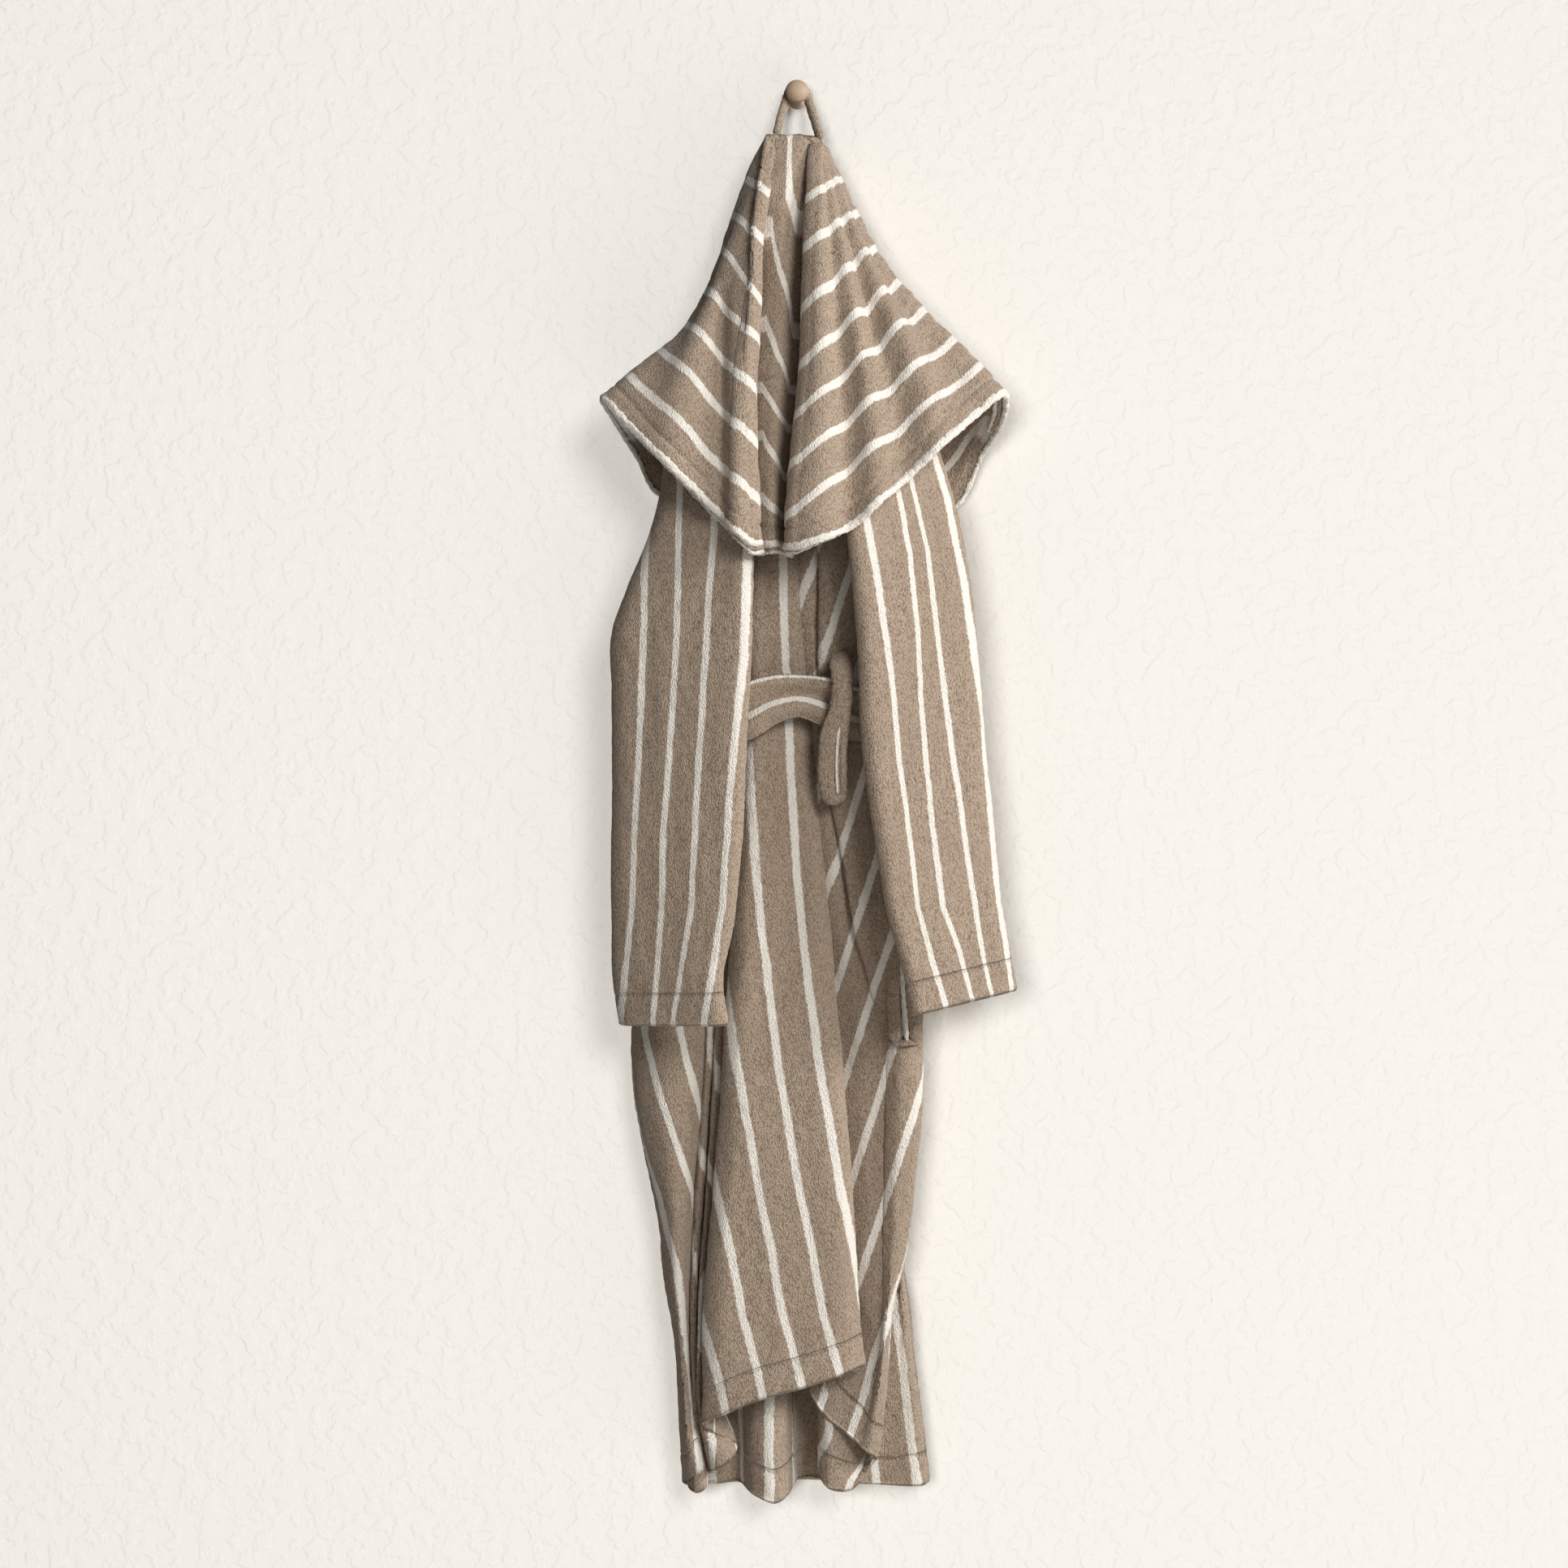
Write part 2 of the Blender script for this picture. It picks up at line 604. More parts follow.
left_family = within(slanting(LEFT_STRIPES), 0.45, 7.5)
right_family = within(slanting(RIGHT_STRIPES), 0.45, 7.5)
INNER_LEFT = levels([(-45, 1.25), (-96, 1.7), (-122, 2), (-207, 3), (-260, 4), (-299, 5), (-352, 6),
                     (-400, 7)])
INNER_RIGHT = levels([(-45, 0.35), (-118, 1), (-212, 2), (-260, 3), (-292, 4), (-333, 5), (-366, 6),
                      (-400, 7)])
INNER_MIDDLE = levels([(-45, 0.95), (-96, 1.05), (-165, 2), (-232, 3), (-276, 4), (-315, 5), (-360, 6),
                       (-400, 7)])


def hood_guides():
    """From the wall side round the left edge, over both halves and the fold between them, to the right."""
    left = [
        Guide([(-8, -10, -66), (-18, -11, -150), (-30, -12, -250), (-40, -12, -335)]),
        Guide([(-16, -10, -66), (-40, -11, -150), (-80, -12, -250), (-117, -13, -338)]),
        Guide([(-23, -12, -62), (-58, -16, -130), (-104, -22, -226), (-136, -24, -308)]),
        Guide([(-27, -30, -52), (-56, -36, -118), (-88, -44, -200), (-120, -50, -248), (-153, -58, -281)]),
        Guide(LEFT_RIM, left_family),
        Guide([(-23, -57, -42), (-45, -84, -108), (-70, -106, -180), (-96, -124, -240), (-122, -136, -308)],
              left_family),
        Guide([(-21, -60, -43), (-37, -92, -110), (-56, -114, -180), (-72, -132, -260), (-86, -144, -343)],
              left_family),
        Guide([(-19, -61, -43), (-30, -96, -110), (-40, -118, -180), (-49, -136, -270), (-54, -149, -374)],
              left_family),
        Guide(hood_line(LEFT_FLAP, -1.0, -9), left_family),
        Guide(hood_line(LEFT_FLAP, 5.0, -1.0), left_family),
        Guide(hood_line(LEFT_FLAP, 34.0, -3.0), INNER_LEFT),
    ]
    middle = [
        Guide(hood_line(between(LEFT_FLAP, RIGHT_FLAP, 0.2), 26.0), INNER_LEFT),
        Guide(hood_line(between(LEFT_FLAP, RIGHT_FLAP, 0.45), 23.0), INNER_MIDDLE),
        Guide(hood_line(between(LEFT_FLAP, RIGHT_FLAP, 0.75), 38.0), INNER_RIGHT),
        Guide(hood_line(RIGHT_FLAP, 52.0, 3.0), INNER_RIGHT),
    ]
    right = [
        Guide(hood_line(RIGHT_FLAP, 6.0, 0.0), right_family),
        Guide(hood_line(RIGHT_FLAP, -3.0, 9.0), right_family),
        Guide([(17, -60, -49), (27, -96, -110), (35, -120, -180), (40, -137, -270), (40, -149, -376)],
              right_family),
        Guide([(20, -59, -49), (36, -90, -110), (53, -114, -180), (68, -132, -255), (76, -143, -346)],
              right_family),
        Guide([(23, -57, -50), (44, -82, -108), (71, -104, -172), (98, -122, -232), (120, -134, -305)],
              right_family),
        Guide(RIGHT_RIM, right_family),
        Guide([(28, -30, -58), (52, -38, -112), (88, -48, -182), (132, -56, -240), (173, -66, -279)]),
        Guide([(24, -13, -64), (60, -17, -134), (112, -24, -226), (158, -28, -306)]),
        Guide([(16, -10, -66), (44, -11, -150), (88, -12, -250), (131, -13, -352)]),
        Guide([(8, -10, -66), (18, -11, -150), (30, -12, -250), (40, -12, -335)]),
    ]
    return left + middle, right


def make_hood():
    left_guides, right_guides = hood_guides()
    drape = Drape(left_guides + right_guides, lean=0.25, down=2.6)
    g, t = drape.guide[None], drape.share
    # Soft ripples that fan out from the neck, deeper on the right half.
    right_ripple = np.sin((g - 16) * 2 * math.pi * 0.8 + 0.7 * np.sin(5 * t)) * fade(g, 15.6, 1.2)
    right_ripple *= fade(-g, -20.2, 1.0)
    left_ripple = np.sin((g - 5) * 2 * math.pi * 0.5 + 0.9 + 0.5 * np.sin(4 * t)) * fade(g, 3.8, 1.0)
    left_ripple *= fade(-g, -8.4, 1.0)
    fan = right_ripple * np.clip(t * 1.8, 0, 1) ** 1.3
    drape.push(5.0 * fan + 4.0 * left_ripple * t)
    drape.cloth[..., 0] += 0.055 * fan + 0.05 * left_ripple * t
    # An upright crease where the left half's outer part falls back.
    x, z = drape.grid[..., 0], drape.grid[..., 2]
    crease = np.exp(-((x + 63) / 6.5) ** 2) - 0.8 * np.exp(-((x + 50) / 8.0) ** 2)
    crease *= fade(-z, 150, 60) * fade(-drape.grid[..., 1], 80, 20)
    drape.push(-4.5 * crease)
    drape.crumple(31, folds=0.9, wide=24, long=90)
    drape.sew(13.0, depth=1.3)
    cut = drape.at_guide[len(left_guides) - 1]
    pieces = [
        drape.piece("hood_left_half", None, ("hood_left", "hood_back_left"), columns=slice(0, cut + 1)),
        drape.piece("hood_right_half", None, ("hood_right", "hood_back_right"), columns=slice(cut, None)),
    ]
    return pieces, drape.grid[-1]


UPWARD = (0.0, 0.0, 1.0)
OUTWARD = (0.0, -1.0, 0.0)      # away from the wall: the "up" of a strip that hangs down
BETWEEN_STRIPES = 0.5           # the stripe number of plain cloth
END_SHARES = (0.05, 0.6, 0.88)  # how a tube's radius grows over its first rings, and shrinks over its last


def sausage(path, radii, corners, seed, fuzz, up):
    """Points of a soft round edge along a path that never runs along up; radii[i] is (across, up)."""
    path = np.asarray(path, float)
    along = unit(np.gradient(path, axis=0))
    side = unit(np.cross(along, np.tile(up, (len(path), 1))))
    up = np.cross(side, along)
    turn = np.linspace(0, 2 * math.pi, corners + 1)
    radii = np.broadcast_to(np.asarray(radii, float), (len(path), 2))
    grid = (path[:, None] + side[:, None] * (radii[:, 0:1] * np.cos(turn))[..., None]
            + up[:, None] * (radii[:, 1:2] * np.sin(turn))[..., None])
    run = run_along(path)
    ring = np.arange(corners + 1) % corners
    lift = noise(run[:, None] / 2.4 + 0 * ring, ring[None] * 0.9 + 0 * run[:, None], seed)
    grid = grid + unit(grid - path[:, None], TINY) * (lift * fuzz)[..., None]
    return grid, run, turn


def tube_piece(name, path, radii, material, corners, seed, fuzz, up=UPWARD):
    """A closed round piece along a path with soft ends."""
    count = len(path)
    ends = np.ones(count)
    for i, share in enumerate(END_SHARES):
        ends[i] = share
        ends[count - 1 - i] = share
    radii = np.broadcast_to(np.asarray(radii, float), (count, 2)) * ends[:, None]
    grid, run, turn = sausage(path, radii, corners, seed, fuzz, up)
    girth = 2 * math.pi * float(np.median(radii))
    across = (turn / (2 * math.pi) * girth)[None]
    table = np.stack(np.broadcast_arrays(BETWEEN_STRIPES + across / PITCH, across * MM, run[:, None] * MM),
                     axis=2)
    wide = np.arange(count * (corners + 1)).reshape(count, corners + 1)
    source = np.concatenate([around(wide).reshape(-1), wide[0, :-1][::-1], wide[-1, :-1]])
    return make_piece(name, grid[:, :-1].reshape(-1, 3), tube_faces(count, corners), material, None,
                      table.reshape(-1, 3)[source])


def join(pieces, name):
    """One object of several, each keeping its material."""
    bpy.ops.object.select_all(action="DESELECT")
    for piece in pieces:
        piece.select_set(True)
    bpy.context.view_layer.objects.active = pieces[0]
    bpy.ops.object.join()
    pieces[0].name = name
    return pieces[0]


def make_hood_hem(edge):
    """The hood's thick white edge, and behind it the turned-in layers that show on the left."""
    fine = run_of(edge[::3], shares(560))
    x = fine[:, 0]
    front = fade(-fine[:, 1], 30, 60)
    main = fine + np.stack([0 * x, 0 * x, -1.6 - 0 * x], axis=1)
    radii = np.stack([1.8 + 1.0 * front, 2.3 + 1.3 * front], axis=1)
    white = tube_piece("edge_main", main, radii, WHITE, 16, 41, 0.9)
    fan = fade(-x, -20, 60) * front
    inside = front > 0.35
    second = (fine + np.stack([-0.03 * (x - 4), 3.4 + 0 * x, -2.6 - 3.4 * fan], axis=1))[inside]
    brown = tube_piece("edge_inner", second, (2.1, 2.4), PLAIN, 12, 43, 0.6)
    third = (fine + np.stack([-0.05 * (x - 4), 6.4 + 0 * x, -3.2 - 6.4 * fan], axis=1))[inside]
    last = tube_piece("edge_last", third, (2.0, 2.3), WHITE, 12, 47, 0.7)
    piece = join([white, brown, last], "hood_edge")
    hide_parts("hood_hem")
    return piece


# ---- sleeves ----
def sleeve_guides(outer, inner, lines, sign):
    """Guides round a flattened sleeve: the front from its left edge to its right, then the back."""
    first = 2 if sign < 0 else 1
    family = within(upright(lines, first), first - 0.65, 5.4)
    left, right = (outer, inner) if sign < 0 else (inner, outer)
    top = max(left[0][1], right[0][1])

    def line(share, out, known):
        foot_z = left[-1][1] + (right[-1][1] - left[-1][1]) * share
        points = []
        for z in np.linspace(top, foot_z, 14):
            a, b = float(x_on(left, z)), float(x_on(right, z))
            lean_back = max(0.0, (z - (top - 70)) / 70)
            y = SLEEVE_Y + out + 34 * lean_back ** 1.6 - sign * SLEEVE_LEAN * (1 - 2 * share)
            points.append((a + (b - a) * share, y, z))
        return Guide(points, family if known else None)

    front = [(0.0, 0, True), (0.06, -7.5, True), (0.25, -9.5, True), (0.5, -10, True), (0.75, -9.5, True),
             (0.94, -7.5, True), (1.0, 0, True)]
    back = [(0.94, 6.5, False), (0.7, 8.5, False), (0.4, 8.5, False), (0.08, 7, False)]
    return [line(*row) for row in back[-1:] + front + back]


LEFT_OUTER = [(-108, -262), (-112, -340), (-125, -390), (-140, -424), (-154, -447), (-154, -498),
              (-153, -580),
              (-154, -652), (-153, -761), (-147, -789)]
LEFT_INNER = [(-44, -262), (-38, -345), (-39, -400), (-39, -450), (-41, -503), (-44, -556), (-46, -616),
              (-51, -676),
              (-56, -717), (-63, -745), (-64, -765), (-60, -787)]
LEFT_LINES = [
    [(-121, -300), (-123, -370), (-126, -412), (-128, -484), (-131, -556), (-135, -628), (-137, -690),
     (-145, -766), (-147, -790)],
    [(-97, -300), (-98, -412), (-100, -484), (-104, -546), (-111, -628), (-112, -690), (-117, -761),
     (-119, -790)],
    [(-66, -300), (-68, -373), (-73, -424), (-76, -484), (-82, -580), (-87, -690), (-99, -761),
     (-104, -790)],
    [(-40, -300), (-42, -397), (-45, -484), (-54, -571), (-62, -690), (-73, -761), (-77, -790)],
]
RIGHT_INNER = [(36, -262), (40, -340), (42, -378), (48, -436), (53, -508), (54, -556), (60, -599),
               (66, -640), (74, -690),
               (83, -727), (92, -751), (95, -779)]
RIGHT_OUTER = [(104, -262), (120, -320), (131, -356), (139, -399), (146, -447), (151, -508), (157, -580),
               (163, -628),
               (168, -690), (177, -734), (182, -760)]
RIGHT_LINES = [
    [(50, -300), (56, -366), (64, -412), (73, -471), (79, -520), (83, -568), (90, -616), (99, -690),
     (111, -734), (124, -780)],
    [(76, -300), (83, -339), (94, -399), (100, -459), (102, -520), (106, -575), (112, -628), (120, -690),
     (134, -727), (148, -780)],
    [(88, -300), (93, -335), (107, -392), (112, -436), (123, -531), (138, -628), (148, -690), (154, -734),
     (165, -780)],
    [(110, -300), (124, -352), (138, -424), (146, -484), (153, -531), (160, -628), (166, -686), (172, -722),
     (180, -780)],
]


def make_sleeve(word, outer, inner, lines, sign, seed):
    guides = sleeve_guides(outer, inner, lines, sign)
    closing = Guide(guides[0].line)
    drape = Drape(guides + [closing], hem=HEM_DEPTH, closed=True)
    drape.crumple(seed, folds=1.1, wide=30, long=150)
    drape.sew(HEM_DEPTH)
    return [
        drape.piece(f"sleeve_{word}_cloth", None, [f"sleeve_{word}"], slice(0, drape.split + 1)),
        drape.piece(f"cuff_{word}_hem", None, [f"cuff_{word}"], slice(drape.split - 1, None), thick=HEM),
    ]


# ---- the body ----
LEFT_SIDE = [(-22, -58), (-42, -110), (-82, -220), (-102, -330), (-108, -520), (-122, -700), (-139, -790),
             (-137, -858),
             (-130, -895), (-122, -932), (-115, -969), (-112, -1008), (-105, -1046), (-101, -1075),
             (-98, -1134), (-95, -1183)]
RIGHT_SIDE = [(24, -58), (44, -110), (82, -220), (102, -330), (106, -520), (102, -700), (98, -788),
              (96, -845),
              (94, -895), (92, -932), (90, -976), (91, -1005), (96, -1037), (99, -1075), (104, -1115),
              (108, -1154), (110, -1183)]
# The right part of the back hangs in front of its own side: its left edge, and its right edge.
FLAP_LEFT = [(10, -58), (16, -300), (20, -405), (22, -520), (30, -600), (38, -654), (46, -703), (58, -745),
             (65, -769),
             (73, -798), (77, -830), (75, -880), (73, -960), (71, -1060), (64, -1150)]
FLAP_RIGHT = [(22, -58), (42, -110), (80, -220), (100, -330), (107, -520), (105, -700), (104, -788),
              (104, -845),
              (101, -890), (97, -920), (92, -965), (87, -995), (80, -1025), (76, -1060), (73, -1100),
              (68, -1150)]
# The left part's right edge, beside the middle of the back.
SIDE_FOLD = [(-18, -58), (-60, -220), (-78, -420), (-82, -600), (-83, -700), (-82, -800), (-85, -860),
             (-90, -930),
             (-94, -1000), (-94, -1060), (-91, -1120), (-86, -1165)]
PANEL_LEFT = [(-12, -58), (-20, -150), (-30, -280), (-39, -401), (-42, -510), (-46, -612), (-53, -719),
              (-57, -768),
              (-60, -816), (-64, -877), (-68, -926), (-74, -986), (-77, -1028), (-78, -1067), (-77, -1095),
              (-78, -1126)]
PANEL_RIGHT = [(8, -58), (6, -150), (3, -280), (-1, -405), (2, -458), (6, -497), (11, -543), (15, -592),
               (19, -640),
               (26, -719), (30, -768), (36, -828), (40, -877), (44, -913), (47, -962), (52, -1028),
               (56, -1078)]
# The layer behind the flap, whose edge hangs below it.
CURL_FRONT = [(10, -58), (16, -400), (24, -800), (30, -1040), (29, -1110)]
CURL_EDGE = [(8, -58), (12, -400), (17, -800), (20, -1040), (20, -1110)]
PANEL_STRIPE = [(-48, -300), (-45, -450), (-39, -585), (-35, -660), (-29, -719), (-23, -768), (-16, -824),
                (-6, -884),
                (2, -932), (11, -974), (22, -1034), (35, -1082), (45, -1130)]
PANEL_PITCH = 34.0


def panel_stripe(x, z):
    return 1 + (x - x_on(PANEL_STRIPE, z)) / PANEL_PITCH


def side_stripe(x, z):
    """The right side's cloth is drawn towards the middle, so its stripes slant."""
    return 6 + (x - 0.31 * z - 268.5) / 32.5


def line_of(pairs, out, foot=None, shift=0.0):
    """A guide line from (x, z) pairs, standing `out` from the wall: a number or a list of (z, y) rows."""
    def y_at(z):
        if isinstance(out, (int, float)):
            return out
        return float(np.interp(-z, [-row[0] for row in out], [row[1] for row in out]))
    points = [(x + shift, y_at(z), z) for x, z in pairs]
    if foot:
        while points and points[-1][2] <= foot[2] + 25:
            points.pop()
        points.append(foot)
    return points


FLAP_VALLEY = [(-58, -46), (-150, -46), (-300, -52), (-420, -76), (-700, -80), (-790, -70), (-860, -67),
               (-1200, -70)]


NECK_Y = -46


def neck_out(deep):
    """Depth that starts at the neck and is full below the shoulders."""
    grow = deep - NECK_Y
    return [(-58, NECK_Y), (-150, NECK_Y + grow * 0.45), (-300, NECK_Y + grow * 0.9), (-420, deep),
            (-1200, deep)]


def forward(deep, foot):
    """Depth that is full between the shoulders and the cuffs, and falls back to `foot` below them."""
    upper = neck_out(deep)[:-1]
    return upper + [(-690, deep), (-800, foot), (-1200, foot)]


def rear_stripe(x, z):
    """The side behind the flap keeps its own upright stripes."""
    return 9 + (x - 83.3 + 0.122 * (z + 1033)) / 34


def left_stripe(x, z):
    """The left part's stripes run down towards the middle."""
    line = np.interp(-z, [300, 798, 845, 885, 939, 1000, 1100, 1180],
                     [-128, -128, -117, -105, -87, -72, -60, -52])
    return -4 + (x - line) / 29


def curl_out(foot):
    """Depth of the layer that shows under the flap: near the wall down to the hem, where it curls forward."""
    return [(-58, -46), (-300, -40), (-1000, -40), (-1080, (foot - 40) / 2), (-1130, foot), (-1200, foot)]


def guide_of(pairs, out, foot, family=None, shift=0.0):
    return Guide(line_of(pairs, out, foot, shift), family)


def back_guides():
    """From the left side seam, over the middle of the back, to the right side seam."""
    rows = [
        (LEFT_SIDE, SEAM_Y, None),
        (between(LEFT_SIDE, SIDE_FOLD, 0.1), neck_out(-54), (-93, -50, -1182), left_stripe),
        (between(LEFT_SIDE, SIDE_FOLD, 0.5), neck_out(-68), (-89, -62, -1177), left_stripe),
        (between(LEFT_SIDE, SIDE_FOLD, 0.88), neck_out(-66), (-82, -66, -1170), left_stripe),
        (SIDE_FOLD, neck_out(-54), (-78, -58, -1168), None, 2),
        (SIDE_FOLD, neck_out(-36), (-90, -44, -1184), None, -2),
        (between(SIDE_FOLD, PANEL_LEFT, 0.34), neck_out(-58), (-86, -66, -1186)),
        (between(SIDE_FOLD, PANEL_LEFT, 0.44), neck_out(-56), (-79, -66, -1184)),
        (between(SIDE_FOLD, PANEL_LEFT, 0.54), neck_out(-38), (-76, -48, -1174)),
        (between(SIDE_FOLD, PANEL_LEFT, 0.7), neck_out(-62), (-67, -74, -1166)),
        (between(SIDE_FOLD, PANEL_LEFT, 0.82), neck_out(-60), (-58, -74, -1160)),
        (PANEL_LEFT, neck_out(-38), (-52, -50, -1150), None, 1),
        (PANEL_LEFT, neck_out(-58), (-66, -62, -1140), None, 3),
        (PANEL_LEFT, neck_out(-76), (-78, -74, -1127), panel_stripe),
        (between(PANEL_LEFT, PANEL_RIGHT, 0.1), neck_out(-87), (-62, -86, -1117), panel_stripe),
        (between(PANEL_LEFT, PANEL_RIGHT, 0.35), neck_out(-89), (-32, -90, -1104), panel_stripe),
        (between(PANEL_LEFT, PANEL_RIGHT, 0.65), neck_out(-89), (8, -90, -1093), panel_stripe),
        (between(PANEL_LEFT, PANEL_RIGHT, 0.92), neck_out(-87), (44, -86, -1081), panel_stripe),
        (PANEL_RIGHT, neck_out(-78), (56, -75, -1077), panel_stripe),
        (PANEL_RIGHT, forward(-74, -62), (40, -62, -1088), None, -5),
        (PANEL_RIGHT, forward(-66, -50), (12, -52, -1100), side_stripe, -12),
        (between(PANEL_RIGHT, FLAP_LEFT, 0.5), forward(-82, -63), (24, -64, -1122), side_stripe),
        (FLAP_LEFT, FLAP_VALLEY, (44, -70, -1137), side_stripe, 4),
        (FLAP_LEFT, forward(-88, -68), (54, -73, -1146), side_stripe),
        (between(FLAP_LEFT, FLAP_RIGHT, 0.4), forward(-93, -76), (60, -76, -1151), side_stripe),
        (FLAP_RIGHT, forward(-82, -71), (66, -72, -1156), side_stripe),
        (FLAP_RIGHT, neck_out(-54), (60, -60, -1168), None, -1),
        (between(FLAP_LEFT, FLAP_RIGHT, 0.6), neck_out(-50), (46, -66, -1184)),
        (CURL_FRONT, curl_out(-65), (26, -66, -1182)),
        (CURL_EDGE, curl_out(-52), (19, -50, -1172)),
        (between(FLAP_LEFT, FLAP_RIGHT, 0.5), neck_out(-40), (46, -40, -1182), rear_stripe),
        (between(FLAP_RIGHT, RIGHT_SIDE, 0.5), neck_out(-42), (70, -40, -1184), rear_stripe),
        (RIGHT_SIDE, neck_out(-44), (104, -44, -1184), rear_stripe, -5),
        (RIGHT_SIDE, SEAM_Y, None),
    ]
    return [guide_of(*row) for row in rows]


def make_side_seam():
    """The pocket's sewn edge at the right side: two ridges and a white line, caught at the foot."""
    top, foot = (88, -86, -690), (93, -82, -806)
    ridges = []
    for k, (shift, width, material) in enumerate(((-11, 5.4, PLAIN), (-1, 2.2, WHITE), (7, 5.2, PLAIN))):
        line = [(top[0] + shift * 0.6, top[1], top[2]), (89 + shift * 0.8, -85, -750),
                (foot[0] + shift, foot[1], foot[2])]
        path = run_of(line, shares(60))
        ridges.append(tube_piece(f"side_seam_{k}", path, (width, 2.6), material, 16, 141 + k, 0.7,
                                 up=OUTWARD))
    foot_line = [(foot[0] - 15, foot[1] + 1, foot[2] - 1), (foot[0], foot[1], foot[2]),
                 (foot[0] + 11, foot[1] + 6, foot[2])]
    path = run_of(foot_line, shares(24))
    ridges.append(tube_piece("side_seam_foot", path, (2.4, 2.6), PLAIN, 12, 149, 0.7))
    return join(ridges, "side_seam")


def make_back():
    drape = Drape(back_guides(), hem=HEM_DEPTH, down=3.4)
    drape.crumple(61, folds=1.5, wide=34, long=240)
    drape.sew(HEM_DEPTH)
    panel = drape.piece("back_panel_cloth", None, ["back_panel"], slice(0, drape.split + 1))
    panel = join([panel, make_side_seam()], "back_panel_cloth")
    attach(panel, "robe")
    hem = drape.piece("back_hem_cloth", "robe", ["hem_back"], slice(drape.split - 1, None), thick=HEM)
    return [panel, hem]


def lobe(deep):
    """Depth of a fold that only stands out near the foot."""
    return [(-60, -28), (-860, -28), (-1000, -28 + (deep + 28) * 0.45), (-1110, deep), (-1200, deep)]


def first_stripe(x, z):
    return 0 * z + (x + 23.5) / 36


def plain(x, z):
    """Between two stripes, all along."""
    return 0.3 + 0 * z


def make_front(side, word, depth, seed):
    """A front of the robe, next to the wall: its panel, its foot hem and the facing of its free edge."""
    seam = LEFT_SIDE if side < 0 else RIGHT_SIDE
    edge = [(-side * x, z) for x, z in ((4, -60), (30, -330), (30, -700), (30, -1183))]
    facing = [(-side * x, z) for x, z in ((-5, -60), (-10, -330), (-10, -700), (-10, -1183))]
    seam_y = -32.0
    if side < 0:
        guides = [
            Guide(line_of(seam, seam_y)),
            Guide(line_of(between(seam, facing, 0.3), depth - 2, (-70, depth - 6, -1184))),
            Guide(line_of(between(seam, facing, 0.55), depth, (-50, -25, -1184))),
            Guide(line_of([(-30, -60), (-30, -700), (-34, -1000), (-36, -1183)], lobe(-58),
                          (-35, -58, -1190)), first_stripe),
            Guide(line_of([(-24, -60), (-24, -700), (-23, -1000), (-22, -1183)], lobe(-66),
                          (-20, -66, -1195)), first_stripe),
            Guide(line_of([(-16, -60), (-16, -700), (-15, -1000), (-12, -1183)], lobe(-59),
                          (-12, -59, -1193))),
            Guide(line_of(facing, lobe(-38), (-5, -38, -1186))),
            Guide(line_of([(-2, -60), (0, -700), (1, -1183)], lobe(-24), (1, -24, -1182)), plain),
            Guide(line_of([(4, -60), (18, -700), (18, -1183)], lobe(-24), (18, -24, -1182)), plain),
            Guide(line_of([(8, -60), (25, -700), (30, -1183)], lobe(-44), (33, -46, -1184))),
            Guide(line_of(edge, lobe(-56), (42, -54, -1181))),
            Guide(line_of([(5, -60), (32, -700), (40, -1183)], lobe(-48), (50, -46, -1178))),
        ]
    else:
        guides = [
            Guide(line_of(edge, depth), plain),
            Guide(line_of(between(edge, facing, 0.5), depth), plain),
            Guide(line_of(facing, depth), plain),
            Guide(line_of(between(facing, seam, 0.4), depth - 1, (44, depth - 3, -1184))),
            Guide(line_of(between(facing, seam, 0.75), depth - 3, (76, depth - 8, -1186))),
            Guide(line_of(seam, seam_y)),
        ]
    fold = 6 if side < 0 else 2      # the guide where the facing begins
    drape = Drape(guides, hem=HEM_DEPTH, down=4.0)
    drape.crumple(seed, folds=1.0, wide=34, long=260)
    drape.sew(HEM_DEPTH)
    row, column = drape.split, drape.at_guide[fold]
    body, turned = slice(0, column + 1), slice(column, None)
    if side > 0:
        body, turned = turned, body
    return [
        drape.piece(f"front_{word}_cloth", "robe", [f"front_panel_{word}"], slice(0, row + 1), body),
        drape.piece(f"front_{word}_hem", "robe", [f"hem_front_{word}"], slice(row - 1, None), body, HEM),
        drape.piece(f"front_{word}_facing", "robe", [f"front_facing_{word}"], slice(None), turned, HEM),
    ]


def make_pocket(side, word, wall_side, stand_off):
    """A patch pocket on the wall side of a front, sewn along its sides and foot."""
    inner, outer, top, foot = side * 57, side * 100, -690, -822
    top_seam, seam_depth = 28, 0.9
    guides = []
    for share, away in ((0, 0), (0.06, 0.5), (0.3, 1), (0.7, 1), (0.94, 0.5), (1, 0)):
        x = inner + (outer - inner) * share
        y = wall_side + stand_off * away
        guides.append(Guide([(x, y, top), (x, y, top - 40),
                             (x, wall_side + stand_off * away * 0.7, foot + 25),
                             (x, wall_side, foot)]))
    drape = Drape(guides, down=4.0)
    drape.crumple(71 + side, folds=0.5, wide=24, long=60, small=0.25)
    drape.push(-seam_depth * np.exp(-((drape.down_run - top_seam) / SEAM_WIDTH) ** 2))
    return drape.piece(f"pocket_{word}_cloth", "robe", [f"pocket_{word}"], thick=3.2, trim=False)


# ---- belt, loops and neck ----
BELT_BEHIND = -7                # the belt's ends hang this far from the wall
BELT_SAG = 14
BELT_BEND = 40                  # radius of the bend where an end turns down
BELT_FOOT = -1120
END_X = 24


